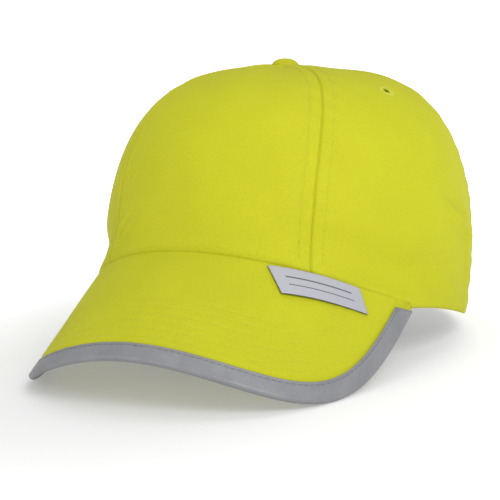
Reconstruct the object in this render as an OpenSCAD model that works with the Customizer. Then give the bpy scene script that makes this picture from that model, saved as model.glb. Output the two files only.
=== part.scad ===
// Bump cap: a five panel fabric cap with a curved peak over a removable plastic shell.
// Everything is shaped in the cap's own frame: rim plane at z = 0, front towards -Y,
// wearer's left towards +X. The rest() module then lays the cap down as it stands on a
// table, on its rear rim and on the two low corners of the peak.

/* [Crown] */
// Half width of the crown
crown_half_w = 90; // [88:0.5:93]
// Reach of the crown in front of its centre
crown_front = 91.5; // [90:0.5:94]
// Reach of the crown behind its centre
crown_back = 98; // [96:0.5:102]
// Height of the crown above the rim plane
crown_h = 118; // [116:1:124]
// Thickness of a crown panel with its seam allowance
panel_t = 1.2; // [1:0.1:1.4]
// Half angle of the front panel at the rim
front_seam_low = 33; // [31:0.5:38]
// Half angle of the front panel at the button
front_seam_top = 49.5; // [44:0.5:54]
// Angle of the seam between side and back panel
back_seam = 116; // [112:1:120]

/* [Peak] */
// Radius that the flat peak board is bent to
bend_r = 93; // [92:0.5:97]
// Downward slope of the peak
droop = 37.7; // [36:0.1:39]
// Half width of the peak before it is bent
peak_half_w = 106.5; // [105:0.5:107.5]
// Thickness of the plastic board in the peak
board_t = 1.2; // [1:0.1:1.4]
// Width of the reflective binding on the peak's edge
binding_w = 9; // [7:0.5:11]

/* [Rear opening] */
// Half width of the arch over the strap
arch_half_w = 37; // [34:1:38]
// Height of the arch above the rim
arch_h = 45; // [42:1:46]
// Width of the hook and loop strap
strap_w = 20; // [18:1:21]

/* [Insert] */
// Wall of the plastic shell
shell_t = 2; // [1.6:0.1:2.4]
// Height of the shell above the rim plane
shell_h = 112; // [108:0.5:112.5]
// Lower edge of the shell at the front
shell_low_front = 60; // [56:1:64]
// Lower edge of the shell at the sides and rear
shell_low_rear = 47; // [46:1:52]
// Thickness of the foam pads
pad_t = 6; // [4:0.5:8]

/* [Hidden] */

hi_vis = "#c9ce2e";
silver_grey = "#8f9196";
apex_y = -10.5;          // the button sits this far in front of the crown's centre
front_p = 2.7;          // roundness of the crown's profile, front and rear
front_q = 2.95;
rear_p = 4.2;
rear_q = 2.2;
front_flare = 6.8;      // the rim flares out at the front and tucks in at the rear
rear_tuck = 9.7;
peak_z = 37.3;          // height of the peak's root above the rim plane
peak_end = 64;          // half angle over which the peak is sewn to the crown
peak_end_v = -38;       // length coordinate of the peak's two ends, on the flat board
peak_len = 114.5;       // length of the flat board from its ends to its front edge
corner_s = 3.1;         // how square the board's outline is, across and along
corner_v = 3.9;
board_to = 0.92;        // share of the outline that reaches the seam, and the binding's
binding_to = 0.922;
hole_r = 3.2;           // hole in the top of the crown for the button's stud
gap = 0.1;
layer_gap = 0.4;        // between sewn layers, so that their facets stay clear of each other

/* Crown surface: th is the angle from the front towards the wearer's left, t runs
   from the rim (0) to the button (1), d is the distance outwards along the normal. */
function ease(x) = x * x * (3 - 2 * x);
function clamp01(x) = min(1, max(0, x));
function frontness(th) = ease(0.5 + 0.5 * cos(th));
function mix(rear, front, g) = rear * (1 - g) + front * g;
function plan_r(th) = 1 / sqrt(pow(sin(th) / crown_half_w, 2)
    + pow(cos(th) / (cos(th) > 0 ? crown_front : crown_back), 2));
function tuck(th) = mix(rear_tuck, -front_flare, frontness(th));
function rim_r(th) = plan_r(th) - tuck(th);
function turn(th) = th > 180 ? th - 360 : th;

function sag(x) = bend_r - sqrt(max(bend_r * bend_r - x * x, 1));
function peak_top_z(x, y) = peak_z + tan(droop) * (y + crown_front) - sag(x) / cos(droop);
function peak_rim_z(th) = peak_top_z(rim_r(th) * sin(th), -rim_r(th) * cos(th));
function rim_z(th) = abs(turn(th)) < peak_end ? peak_rim_z(th)
    : peak_rim_z(peak_end) * (1 - ease(clamp01((abs(turn(th)) - peak_end) / 50)));

function q_of(th) = mix(rear_q, front_q, frontness(th));
function crown_at(th, t) = let (
        rho = pow(max(cos(90 * t), 0), 2 / mix(rear_p, front_p, frontness(th))),
        w = pow(sin(90 * t), 2 / q_of(th)),
        r = plan_r(th) * rho - tuck(th) * pow(1 - w, 3))
    [r * sin(th), -r * cos(th) + apex_y * (1 - rho), rim_z(th) * (1 - w) + crown_h * w];
function unit(v) = v / norm(v);
function crown_normal(th, t) = t > 0.99 ? [0, 0, 1]
    : unit(cross(crown_at(th + 0.5, t) - crown_at(th - 0.5, t),
        crown_at(th, t + 0.01) - crown_at(th, max(t - 0.01, 0))));
function crown(th, t, d) = crown_at(th, t) + d * crown_normal(th, t);
// t at a height h above the rim
function t_at(th, h) = asin(pow(h / (crown_h - rim_z(th)), q_of(th) / 2)) / 90;

/* Closed solid between two equal grids of points; rows x columns points outwards. */
function quad(a, b, c, d) = [[a, b, c], [a, c, d]];
module slab(skin, back) {
    rows = len(skin);
    cols = len(skin[0]);
    k = rows * cols;
    last = (rows - 1) * cols;
    points = concat([for (row = skin) each row], [for (row = back) each row]);
    faces = concat(
        [for (i = [0:rows - 2], j = [0:cols - 2]) let (a = i * cols + j)
            each quad(a, a + 1, a + cols + 1, a + cols)],
        [for (i = [0:rows - 2], j = [0:cols - 2]) let (a = k + i * cols + j)
            each quad(a, a + cols, a + cols + 1, a + 1)],
        [for (i = [0:rows - 2]) let (a = i * cols) each quad(a, a + cols, a + cols + k, a + k)],
        [for (i = [0:rows - 2]) let (a = i * cols + cols - 1)
            each quad(a + cols, a, a + k, a + cols + k)],
        [for (j = [0:cols - 2]) each quad(j + 1, j, j + k, j + 1 + k)],
        [for (j = [0:cols - 2]) let (a = last + j) each quad(a, a + 1, a + 1 + k, a + k)]);
    polyhedron(points, faces);
}

/* Closed dome between two grids that go all round, with an apex on each side.
   Cells for which hole(i, j) is true are left open as slots. */
module dome(skin, back, skin_apex, back_apex, slot_rows = [], slot_every = 0) {
    rows = len(skin);
    cols = len(skin[0]);
    k = rows * cols;
    top = 2 * k;
    points = concat([for (row = skin) each row], [for (row = back) each row],
        [skin_apex, back_apex]);
    function id(i, j) = (i % rows) * cols + j;
    function hole(i, j) = slot_every > 0 && len(search(j, slot_rows)) > 0
        && i % slot_every == slot_every - 1;
    faces = concat(
        [for (i = [0:rows - 1], j = [0:cols - 2]) if (!hole(i, j))
            each quad(id(i, j), id(i, j + 1), id(i + 1, j + 1), id(i + 1, j))],
        [for (i = [0:rows - 1], j = [0:cols - 2]) if (!hole(i, j))
            each quad(k + id(i, j), k + id(i + 1, j), k + id(i + 1, j + 1), k + id(i, j + 1))],
        [for (i = [0:rows - 1]) let (a = id(i, cols - 1), b = id(i + 1, cols - 1))
            each [[a, top, b], [k + b, top + 1, k + a]]],
        [for (i = [0:rows - 1]) let (a = id(i, 0), d = id(i + 1, 0)) each quad(a, d, d + k, a + k)],
        [for (i = [0:rows - 1], j = [0:cols - 2]) if (hole(i, j)) let (a = id(i, j),
                b = id(i, j + 1), c = id(i + 1, j + 1), d = id(i + 1, j))
            each concat(quad(a, b, b + k, a + k), quad(c, d, d + k, c + k),
                hole(i, j - 1) ? [] : quad(d, a, a + k, d + k),
                hole(i, j + 1) ? [] : quad(b, c, c + k, b + k))]);
    polyhedron(points, faces);
}

/* The cap as it stands: tilted back until the rear rim and the peak's corners touch. */
function edge_u(f) = 90 * sign(f) * ease(abs(f));
// Near its ends the outline draws in, over this many degrees, to the crown's width there
taper_u = 35;
function end_taper(u) = (peak_half_w - peak_end_s - 0.5)
    * pow(clamp01((abs(u) - 90 + taper_u) / taper_u), 2);
function outline(f) = let (u = edge_u(f))
    [sign(u) * (peak_half_w * pow(abs(sin(u)), 2 / corner_s) - end_taper(u)),
     peak_end_v + peak_len * pow(cos(u), 2 / corner_v)];
function outline_in(f, inset) = let (
        a = outline(max(f - 0.01, -1)),
        b = outline(min(f + 0.01, 1)),
        tangent = unit(b - a))
    outline(f) + inset * [tangent[1], -tangent[0]];
function bent(sv, h) = let (phi = sv[0] / bend_r * 180 / PI, n = (bend_r + h) * cos(phi) - bend_r)
    [(bend_r + h) * sin(phi), -crown_front - sv[1] * cos(droop) - n * sin(droop),
     peak_z - sv[1] * sin(droop) + n * cos(droop)];
function flat(p) = [bend_r * asin(p[0] / bend_r) * PI / 180,
    (-crown_front - p[1] + sag(p[0]) * sin(droop)) / cos(droop)];
peak_end_s = flat([rim_r(peak_end) * sin(peak_end), -rim_r(peak_end) * cos(peak_end)])[0];
binding_low = -1.8 - board_t;
binding_top = 0.4;

rear_rim_y = rim_r(180);
pitch = max([for (f = [0:0.02:1]) let (p = bent(outline(f), binding_low))
    atan2(-p[2], rear_rim_y - p[1])]);
function laid(p) = [p[0], p[1] * cos(pitch) + p[2] * sin(pitch),
    -p[1] * sin(pitch) + p[2] * cos(pitch)];
front_y = min([for (f = [0:0.02:1]) laid(bent(outline_in(f, -0.4), binding_low))[1]]);
rear_y = max([for (t = [0:0.02:0.6]) laid(crown(180, t, t < 0.18 ? 1.5 : 0))[1]]);
module rest() {
    translate([0, -(front_y + rear_y) / 2, rear_rim_y * sin(pitch)])
        rotate([-pitch, 0, 0]) children();
}

/* Crown panels */
function front_seam(t) = mix(front_seam_low, front_seam_top, pow(t, 1.4));
function arch_t(th) = let (s = abs(180 - th) * PI / 180 * rear_rim_y)
    s >= arch_half_w ? 0 : t_at(th, arch_h * sqrt(1 - pow(s / arch_half_w, 2)));
cols = 14;
function top_t(th) = acos(pow(hole_r / plan_r(th), mix(rear_p, front_p, frontness(th)) / 2)) / 90;
function panel_t_at(th, from, k) = from + (top_t(th) - from) * k;
function front_grid(d) = [for (i = [-7:7]) [for (j = [0:cols]) let (th = front_seam(j / cols) * i / 7)
    crown(th, panel_t_at(th, 0, j / cols), d)]];
function side_grid(d) = [for (i = [0:11]) [for (j = [0:cols])
    let (th = mix(front_seam(j / cols), back_seam, i / 11)) crown(th, panel_t_at(th, 0, j / cols), d)]];
arch_angle = arch_half_w / rear_rim_y * 180 / PI;
back_ths = concat([for (i = [0:4]) mix(back_seam, 180 - arch_angle, i / 5)],
    [for (i = [0:7]) 180 - arch_angle * cos(90 * i / 7)]);
function back_grid(d) = [for (th = back_ths) [for (j = [0:cols])
    crown(th, panel_t_at(th, arch_t(th), j / cols), d)]];

module on_left() { children(); }
module on_right() { mirror([1, 0, 0]) children(); }

side_vent = [78, 0.67];
back_vent = [148, 0.62];
vent_r = 1.7;
module at_crown(spot) {
    n = crown_normal(spot[0], spot[1]);
    translate(crown_at(spot[0], spot[1])) rotate([0, acos(n[2]), atan2(n[1], n[0])]) children();
}
module vented(spot) {
    difference() {
        children();
        at_crown(spot) translate([0, 0, -4]) cylinder(h = 8, r = vent_r, $fn = 24);
    }
}

module front_panel() { color(hi_vis) rest() slab(front_grid(0), front_grid(-panel_t)); }
module side_panel() { vented(side_vent) slab(side_grid(0), side_grid(-panel_t)); }
module side_panel_left() { color(hi_vis) rest() on_left() side_panel(); }
module side_panel_right() { color(hi_vis) rest() on_right() side_panel(); }
module back_panel() { vented(back_vent) slab(back_grid(0), back_grid(-panel_t)); }
module back_panel_left() { color(hi_vis) rest() on_left() back_panel(); }
module back_panel_right() { color(hi_vis) rest() on_right() back_panel(); }

// Stiff interlining behind the front panel, short of the two seam tapes
function buckram_grid(d) = [for (i = [-5:5]) [for (j = [0:7]) let (t = 0.06 + 0.8 * j / 7)
    crown((front_seam(t) - 5 / max(cos(90 * t), 0.2)) * i / 5, t, d)]];
module front_buckram() {
    color("#e8e8e2") rest() slab(buckram_grid(-panel_t - 0.3), buckram_grid(-panel_t - 0.9));
}

// Tape over the seam allowances on the inside of the crown
tape_half_w = 6;
function tape_grid(low, top, from, to, d) = [for (side = [-1, 0, 1]) [for (j = [0:10]) let (
        t = mix(from, to, j / 10),
        th = mix(low, top, pow(t, 1.4)),
        spread = tape_half_w / (plan_r(th) * pow(cos(90 * t), 0.7)) * 180 / PI)
    crown(th + side * spread, t, d)]];
module tape(low, top, from, to) {
    color(hi_vis) rest()
        slab(tape_grid(low, top, from, to, -panel_t - layer_gap),
            tape_grid(low, top, from, to, -panel_t - 0.9));
}
module front_seam_tape_left() { tape(front_seam_low, front_seam_top, 0.1, 0.88); }
module front_seam_tape_right() { tape(-front_seam_low, -front_seam_top, 0.1, 0.88); }
module back_seam_tape_left() { tape(back_seam, back_seam, 0.1, 0.88); }
module back_seam_tape_right() { tape(-back_seam, -back_seam, 0.1, 0.88); }
module rear_centre_tape() { tape(180, 180, arch_t(180) + 0.09, 0.88); }

// Embroidered rings round the four vent holes
module eyelet(spot) {
    at_crown(spot) translate([0, 0, 0.15]) difference() {
        cylinder(h = 0.6, r = 4.2, $fn = 32);
        translate([0, 0, -1]) cylinder(h = 3, r = vent_r, $fn = 24);
    }
}
module vent_eyelets() {
    color(hi_vis) rest() for (spot = [side_vent, back_vent]) {
        on_left() eyelet(spot);
        on_right() eyelet(spot);
    }
}

/* Button: fabric cap over a plastic stud that is clinched to a washer inside */
button_r = 6.8;
button_h = 4.3;
cover_t = 0.8;
dome_r = (button_r * button_r + button_h * button_h) / (2 * button_h);
module at_apex() { translate([0, apex_y, crown_h]) children(); }
module button_half(r) {
    intersection() {
        translate([0, button_h - dome_r]) circle(r = r, $fn = 96);
        translate([0, gap]) square([2 * button_r, 2 * button_h]);
    }
}
module top_button() {
    color(hi_vis) rest() at_apex() rotate_extrude($fn = 48) difference() {
        button_half(dome_r);
        translate([0, button_h - dome_r]) circle(r = dome_r - cover_t, $fn = 96);
    }
}
module button_stud() {
    color("#d8d8d0") rest() at_apex() {
        rotate_extrude($fn = 48) button_half(dome_r - cover_t - gap);
        translate([0, 0, -4]) cylinder(h = 4 + 2 * gap, r = 1.6, $fn = 24);
    }
}
module button_washer() {
    color("#b9bbbd") rest() at_apex() translate([0, 0, -panel_t - 1]) difference() {
        cylinder(h = 0.8, r = 5, $fn = 32);
        translate([0, 0, -1]) cylinder(h = 3, r = 1.7, $fn = 24);
    }
}

/* Sweatband, its label and the tape round the rear arch */
band_h = 32;
band_end = 146;
function band_grid(d_low, d_high) = [for (i = [-22:22]) let (th = band_end * i / 22)
    [for (j = [0:3]) crown(th, t_at(th, 0.4 + band_h * j / 3), j == 0 ? d_low : d_high)]];
module sweatband() {
    color("#3a3d40") rest() slab(band_grid(-panel_t - 0.3, -2.6), band_grid(-3.2, -4));
}
function care_grid(d) = [for (th = [126:4:138]) [for (h = [6, 14, 24]) crown(th, t_at(th, h), d)]];
module care_label() { color("#f0f0ec") rest() slab(care_grid(-4.25), care_grid(-4.5)); }
function arch_ring(k, grow) = let (a = 180 * k / 16)
    [180 - (arch_half_w + grow) * cos(a) / rear_rim_y * 180 / PI, 0.6 + (arch_h + grow) * sin(a)];
function arch_grid(d) = [for (grow = [8, 0.8]) [for (k = [0:16]) let (p = arch_ring(k, grow))
    crown(p[0], t_at(p[0], p[1]), d)]];
module rear_opening_tape() {
    color(hi_vis) rest() slab(arch_grid(-panel_t - layer_gap), arch_grid(-panel_t - 0.9));
}

/* Peak: board between two fabric covers, bound along its free edge */
peak_rows = 20;
function seam_sv(f, inset) = let (
        th = (peak_end - 1.2 * inset) * (f / board_to + outline(f)[0] / outline(board_to)[0]) / 2,
        r = rim_r(th) + 0.2)
    flat([r * sin(th), -r * cos(th)]);
function peak_grid(inset, h) = [for (i = [-peak_rows:peak_rows]) let (
        f = board_to * i / peak_rows,
        far = outline_in(f, inset),
        near = seam_sv(f, inset))
    [for (j = [0:6]) bent(far * (1 - j / 6) + near * j / 6, h)]];
module peak_board() {
    color("#e6e6de") rest() slab(peak_grid(1.4, -0.65), peak_grid(1.4, -0.65 - board_t));
}
module peak_top_cover() {
    color(hi_vis) rest() slab(peak_grid(0.8, -0.15), peak_grid(0.8, -0.45));
}
module peak_under_cover() {
    color(hi_vis) rest() slab(peak_grid(0.8, -0.85 - board_t), peak_grid(0.8, -1.15 - board_t));
}
binding_t = 0.3;
binding_skin = [[binding_w, binding_low], [0.6, binding_low], [-0.4, binding_low + 0.7], [-0.4, -0.3],
    [0.6, binding_top], [binding_w, binding_top]];
binding_back = [[binding_w, binding_low + binding_t], [0.7, binding_low + binding_t],
    [0.1, binding_low + 0.9], [0.1, -0.5], [0.7, binding_top - binding_t],
    [binding_w, binding_top - binding_t]];
function binding_grid(section) = [for (i = [-peak_rows:peak_rows])
    [for (p = section) bent(outline_in((binding_to - 0.003 * p[0]) * i / peak_rows, p[0]), p[1])]];
module peak_binding() {
    color(silver_grey) rest() slab(binding_grid(binding_skin), binding_grid(binding_back));
}

/* Blank silver label whose top edge is sewn into the seam above the peak */
label_w = 42;
label_h = 14.5;
label_from = 22;        // the label's two ends along the seam, as angles from the front
label_to = 46;
function rim_point(th) = crown_at(th, 0);
module seam_label() {
    across = unit(rim_point(label_to) - rim_point(label_from));
    middle = rim_point((label_from + label_to) / 2);
    phi = asin(middle[0] / bend_r);
    down = unit(cross(across, [sin(phi), -cos(phi) * sin(droop), cos(phi) * cos(droop)]));
    up = cross(down, across);
    foot = middle + 1.2 * down + 1.1 * up;
    color("#c8c8d0") rest() multmatrix([for (k = [0:2]) [across[k], -down[k], up[k], foot[k]]])
        translate([-label_w / 2, -label_h, 0]) cube([label_w, label_h, 0.4]);
}

/* Hook and loop strap across the rear opening */
function strap_grid(from, to, n, inset, d, round_from = 0) = [for (i = [0:n]) let (
        th = mix(from, to, i / n),
        cut = i == 0 ? round_from : 0)
    [for (j = [0:3]) crown(th, t_at(th, 0.8 + inset + cut + (strap_w - 2 * inset - 2 * cut) * j / 3), d)]];
module strap(from, to, n, inset, d_out, d_in, round_from = 0) {
    rest() slab(strap_grid(from, to, n, inset, d_out, round_from),
        strap_grid(from, to, n, inset, d_in, round_from));
}
hinge_th = 205;
module strap_sewn_end() { color(hi_vis) strap(hinge_th + 0.3, 214, 2, 0, 1.5, 0.3); }
module strap_outer() { color(hi_vis) strap(160, hinge_th - 0.4, 9, 0, 1.5, 0.3, 3); }
module hook_patch() { color("#4a4c3a") strap(163, 198, 7, 1.5, 0.05, -0.7); }
module strap_inner() { color(hi_vis) strap(148, 200, 10, 0, -2.45, -3.4); }
module loop_patch() { color("#b7bb4a") strap(159, 199, 8, 1.5, -1.1, -2.2); }

/* Insert: ABS shell with vent slots, lined with foam pads */
shell_n = 40;
function shell_plan(th) = rim_r(th) - 5 - 7 * frontness(th);
function shell_at(th, z) = let (
        w = z / shell_h,
        rho = pow(sqrt(max(1 - pow(w, 3), 0)), 2 / 3),
        r = shell_plan(th) * rho)
    [r * sin(th), -r * cos(th) + apex_y * (1 - rho), z];
function shell_normal(th, z) = z > shell_h - 0.3 ? [0, 0, 1]
    : unit(cross(shell_at(th + 0.5, z) - shell_at(th - 0.5, z),
        shell_at(th, z + 0.2) - shell_at(th, z - 0.2)));
function shell(th, z, d) = shell_at(th, z) + d * shell_normal(th, z);
function shell_low(th) = mix(shell_low_rear, shell_low_front, frontness(th));
// Heights are spread evenly along the profile from the edge z to the crown
function rise(from, k) = shell_h * pow(sin(mix(asin(pow(from / shell_h, 1.5)), 89, k)), 1 / 1.5);
function shell_grid(d) = [for (i = [0:shell_n - 1]) let (th = 360 * i / shell_n)
    [for (j = [0:12]) shell(th, rise(shell_low(th), j / 12), d)]];
module insert_shell() {
    color("#2b2d30") rest() dome(shell_grid(0), shell_grid(-shell_t),
        [0, apex_y, shell_h], [0, apex_y, shell_h - shell_t], [2, 3, 6, 7], 4);
}
function pad_grid(from, to, n, z_low, z_high, d) = [for (i = [0:n]) let (th = mix(from, to, i / n))
    [for (j = [0:4]) shell(th, mix(z_low, z_high, j / 4), d)]];
module pad(from, to, n, z_low, z_high) {
    color("#33363a") rest() slab(pad_grid(from, to, n, z_low, z_high, -shell_t - 0.6),
        pad_grid(from, to, n, z_low, z_high, -shell_t - pad_t));
}
function cap_grid(d) = [for (i = [0:23]) [for (j = [0:4]) shell(15 * i, rise(96, j / 4), d)]];
module crown_pad() {
    color("#33363a") rest() dome(cap_grid(-shell_t - gap), cap_grid(-shell_t - pad_t),
        [0, apex_y, shell_h - shell_t - gap], [0, apex_y, shell_h - shell_t - pad_t]);
}
module front_pad() { pad(-40, 40, 10, 64, 84); }
module side_pad_left() { pad(58, 104, 7, 56, 76); }
module side_pad_right() { pad(-104, -58, 7, 56, 76); }
module rear_pad() { pad(142, 218, 10, 52, 76); }

front_panel();
side_panel_left();
side_panel_right();
back_panel_left();
back_panel_right();
front_buckram();
front_seam_tape_left();
front_seam_tape_right();
back_seam_tape_left();
back_seam_tape_right();
rear_centre_tape();
vent_eyelets();
top_button();
button_stud();
button_washer();
sweatband();
care_label();
rear_opening_tape();
peak_board();
peak_top_cover();
peak_under_cover();
peak_binding();
seam_label();
strap_sewn_end();
strap_outer();
hook_patch();
strap_inner();
loop_patch();
insert_shell();
crown_pad();
front_pad();
rear_pad();
side_pad_left();
side_pad_right();
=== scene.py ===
from math import cos, degrees, pi, radians, sin, tan

import bpy
import numpy as np
from mathutils import Matrix, Vector


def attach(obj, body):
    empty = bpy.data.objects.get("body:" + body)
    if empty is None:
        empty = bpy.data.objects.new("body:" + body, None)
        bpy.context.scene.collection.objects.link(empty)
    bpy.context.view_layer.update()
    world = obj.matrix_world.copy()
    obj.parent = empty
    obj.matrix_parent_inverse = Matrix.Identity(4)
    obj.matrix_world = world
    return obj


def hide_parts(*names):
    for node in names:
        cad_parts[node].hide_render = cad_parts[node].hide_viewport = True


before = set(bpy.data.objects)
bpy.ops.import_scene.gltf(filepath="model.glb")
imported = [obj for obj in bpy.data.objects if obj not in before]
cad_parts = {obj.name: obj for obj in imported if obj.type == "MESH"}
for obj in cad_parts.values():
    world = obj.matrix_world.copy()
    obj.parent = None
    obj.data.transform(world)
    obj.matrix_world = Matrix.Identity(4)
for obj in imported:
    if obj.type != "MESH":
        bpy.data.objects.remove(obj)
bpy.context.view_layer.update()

bpy.ops.object.select_all(action="DESELECT")

# ------------------------------------------------------------
# How the cap stands: it is drawn level, and then tips back until the rear rim and the two low
# corners of the peak touch the table. Lengths are in millimetres until a mesh is made.
stance_pitch = radians(8.2533)
stance_shift = np.array([0.0, 26.2068, 12.6754])


def tipped(p):
    p = np.asarray(p, float)
    x, y, z = p[..., 0], p[..., 1], p[..., 2]
    return np.stack([x, y * cos(stance_pitch) + z * sin(stance_pitch),
                     z * cos(stance_pitch) - y * sin(stance_pitch)], -1)


def standing(p):
    return (tipped(p) + stance_shift) / 1000


# Camera: a long lens a little above the peak, turned towards the wearer's left.
camera_turn, camera_rise, camera_roll = radians(28.125), radians(2.758), radians(0.86)
camera_distance = 932.567
towards = np.array([sin(camera_turn) * cos(camera_rise), -cos(camera_turn) * cos(camera_rise),
                    sin(camera_rise)])
level_right = np.array([cos(camera_turn), sin(camera_turn), 0.0])
level_up = np.cross(towards, level_right)
right = cos(camera_roll) * level_right + sin(camera_roll) * level_up
up = cos(camera_roll) * level_up - sin(camera_roll) * level_right
axes = [tipped(v) for v in (right, up, towards)]
place = standing(np.array([0.0, 0.0, 40.0]) + camera_distance * towards)
bpy.ops.object.camera_add()
camera = bpy.context.object
camera.name = "camera"
camera.matrix_world = Matrix([[*(axis[k] for axis in axes), place[k]] for k in range(3)] + [[0, 0, 0, 1]])
camera.data.sensor_width = 36
camera.data.lens = 136.57
camera.data.shift_x = -0.0861
camera.data.shift_y = -0.0445
camera.data.clip_start = 0.01
bpy.context.scene.camera = camera
bpy.context.scene.view_settings.view_transform = "Standard"

# Studio: a matt white table with painted light, an emission that glows more towards its far edges and so
# paints a darker shadow round the cap, one large soft light on the cap's left, weaker ones in front and
# above, and a bright room.


def linear(colour):
    srgb = [int(colour[k:k + 2], 16) / 255 for k in (1, 3, 5)]
    return [*(c / 12.92 if c <= 0.04045 else ((c + 0.055) / 1.055) ** 2.4 for c in srgb), 1.0]


def add_node(tree, kind, settings=None, links=None):
    """A node of that kind; settings are its properties and input values, links its inputs' sources."""
    node = tree.nodes.new(kind)
    for key, value in (settings or {}).items():
        if isinstance(key, str) and hasattr(node, key):
            setattr(node, key, value)
        else:
            node.inputs[key].default_value = value
    for key, source in (links or {}).items():
        tree.links.new(source, node.inputs[key])
    return node


def new_material(name):
    made = bpy.data.materials.new(name)
    made.use_nodes = True
    made.node_tree.nodes.clear()
    return made, made.node_tree


def finish_material(tree, settings, links):
    shader = add_node(tree, "ShaderNodeBsdfPrincipled", settings, links)
    add_node(tree, "ShaderNodeOutputMaterial", links={"Surface": shader.outputs[0]})


def refinish(node, material):
    """Puts another material on a piece that keeps its CAD shape."""
    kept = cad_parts[node].data
    kept.materials.clear()
    kept.materials.append(material)


# Each of these adds one node to a material and gives back its output.
def noise(tree, vector, scale, detail=2.0, roughness=0.5):
    return add_node(tree, "ShaderNodeTexNoise", {"Scale": scale, "Detail": detail, "Roughness": roughness},
                    {"Vector": vector}).outputs["Fac"]


def spots(tree, vector, scale, randomness=1.0):
    return add_node(tree, "ShaderNodeTexVoronoi", {"Scale": scale, "Randomness": randomness},
                    {"Vector": vector}).outputs["Distance"]


def blended(tree, share, first, second):
    return add_node(tree, "ShaderNodeMix", {"data_type": "RGBA", 6: linear(first), 7: linear(second)},
                    {0: share}).outputs[2]


def spanned(tree, value, from_min=0.0, from_max=1.0, to_min=0.0, to_max=1.0, kind="LINEAR"):
    return add_node(tree, "ShaderNodeMapRange", {"From Min": from_min, "From Max": from_max, "To Min": to_min,
                                                 "To Max": to_max, "interpolation_type": kind},
                    {"Value": value}).outputs[0]


def compute(tree, operation, *values):
    """Each value is a number or another node's output."""
    numbers = {k: v for k, v in enumerate(values) if isinstance(v, (int, float))}
    sources = {k: v for k, v in enumerate(values) if k not in numbers}
    return add_node(tree, "ShaderNodeMath", {"operation": operation, **numbers}, sources).outputs[0]


def bumped(tree, height, strength, depth):
    return add_node(tree, "ShaderNodeBump", {"Strength": strength, "Distance": depth},
                    {"Height": height}).outputs[0]


def mottled(name, tones, scale, detail, settings, rough=None, grain=None):
    """A material that drifts between two tones with a noise in object space. rough is the range its
    roughness takes with the same noise; grain is a texture's function and arguments, then the
    strength and depth in metres of its bump."""
    made, tree = new_material(name)
    place = add_node(tree, "ShaderNodeTexCoord").outputs["Object"]
    drift = noise(tree, place, scale, detail)
    links = {"Base Color": blended(tree, drift, *tones)}
    if rough:
        links["Roughness"] = spanned(tree, drift, to_min=rough[0], to_max=rough[1])
    if grain:
        texture, sizes, strength, depth = grain
        links["Normal"] = bumped(tree, texture(tree, place, *sizes), strength, depth)
    finish_material(tree, settings, links)
    return made


bpy.ops.mesh.primitive_plane_add(size=40, location=(0, 0, 0))
floor = bpy.context.object
floor.name = "floor"
floor_painted_glow, tree = new_material("matt white floor, glowing, painted darker round the cap")
place = add_node(tree, "ShaderNodeTexCoord").outputs["Object"]
reach = add_node(tree, "ShaderNodeVectorMath", {"operation": "DISTANCE", 1: (-0.03, -0.08, 0.0)}, {0: place})
# Painted light: the floor's emission is 0.28 under the cap and rises to 1.0 from 0.42 m out, painting a
# darker shadow round the cap and a brighter floor beyond.
painted_glow = spanned(tree, reach.outputs["Value"], 0.05, 0.42, 0.28, 1.0, "SMOOTHSTEP")
finish_material(tree, {"Base Color": linear("#cacaca"), "Roughness": 0.95,
                       "Emission Color": linear("#ffffff")}, {"Emission Strength": painted_glow})
floor.data.materials.append(floor_painted_glow)

world = bpy.data.worlds.new("bright room")
bpy.context.scene.world = world
world.use_nodes = True
world.node_tree.nodes["Background"].inputs["Color"].default_value = linear("#ffffff")
world.node_tree.nodes["Background"].inputs["Strength"].default_value = 0.55


def softbox(name, position, aim, width, height, power):
    bpy.ops.object.light_add(type="AREA", location=position)
    lamp = bpy.context.object
    lamp.name = name
    lamp.data.shape = "RECTANGLE"
    lamp.data.size, lamp.data.size_y, lamp.data.energy = width, height, power
    lamp.rotation_euler = (Vector(aim) - Vector(position)).to_track_quat("-Z", "Y").to_euler()


softbox("key softbox", (1.05, -0.72, 0.98), (0, 0, 0.06), 0.7, 0.7, 12.6)
softbox("fill softbox", (-0.5, -1.3, 0.6), (0, 0, 0.06), 0.8, 0.8, 3.0)
softbox("top softbox", (0.1, 0.3, 1.3), (0, 0, 0.08), 1.0, 1.0, 3.0)

# ------------------------------------------------------------
# The crown's shape: a cap block, wider than deep, flared over the peak and tucked in behind.
# th is the angle from the front towards the wearer's left, t runs from rim to button.
crown_half_w, crown_front, crown_back, crown_h, apex_y = 90.0, 91.5, 98.0, 118.0, -10.5
front_p, front_q, rear_p, rear_q = 2.7, 2.95, 4.2, 2.2
front_flare, rear_tuck = 6.8, 9.7
bend_r, droop, peak_half_w = 93.0, radians(37.7), 106.5
peak_z, peak_end, peak_end_v, peak_len = 37.3, 64.0, -38.0, 114.5
front_seam_low, front_seam_top, back_seam = 33.0, 49.5, 116.0


def dsin(x):
    return np.sin(np.radians(x))


def dcos(x):
    return np.cos(np.radians(x))


def ease(x):
    x = np.clip(x, 0, 1)
    return x * x * (3 - 2 * x)


def mix(rear, front, g):
    return rear * (1 - g) + front * g


def frontness(th):
    return ease(0.5 + 0.5 * dcos(th))


def plan_r(th):
    half_l = np.where(dcos(th) > 0, crown_front, crown_back)
    return 1 / np.sqrt((dsin(th) / crown_half_w) ** 2 + (dcos(th) / half_l) ** 2)


def tuck(th):
    return mix(rear_tuck, -front_flare, frontness(th))


def rim_r(th):
    return plan_r(th) - tuck(th)


def sag(x):
    return bend_r - np.sqrt(np.maximum(bend_r ** 2 - x ** 2, 1))


def peak_rim_z(th):
    x, y = rim_r(th) * dsin(th), -rim_r(th) * dcos(th)
    return peak_z + tan(droop) * (y + crown_front) - sag(x) / cos(droop)


def turn(th):
    return np.abs((np.asarray(th, float) + 180) % 360 - 180)


def rim_z(th):
    a = turn(th)
    return np.where(a < peak_end, peak_rim_z(th), peak_rim_z(peak_end) * (1 - ease((a - peak_end) / 50)))


def q_of(th):
    return mix(rear_q, front_q, frontness(th))


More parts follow.
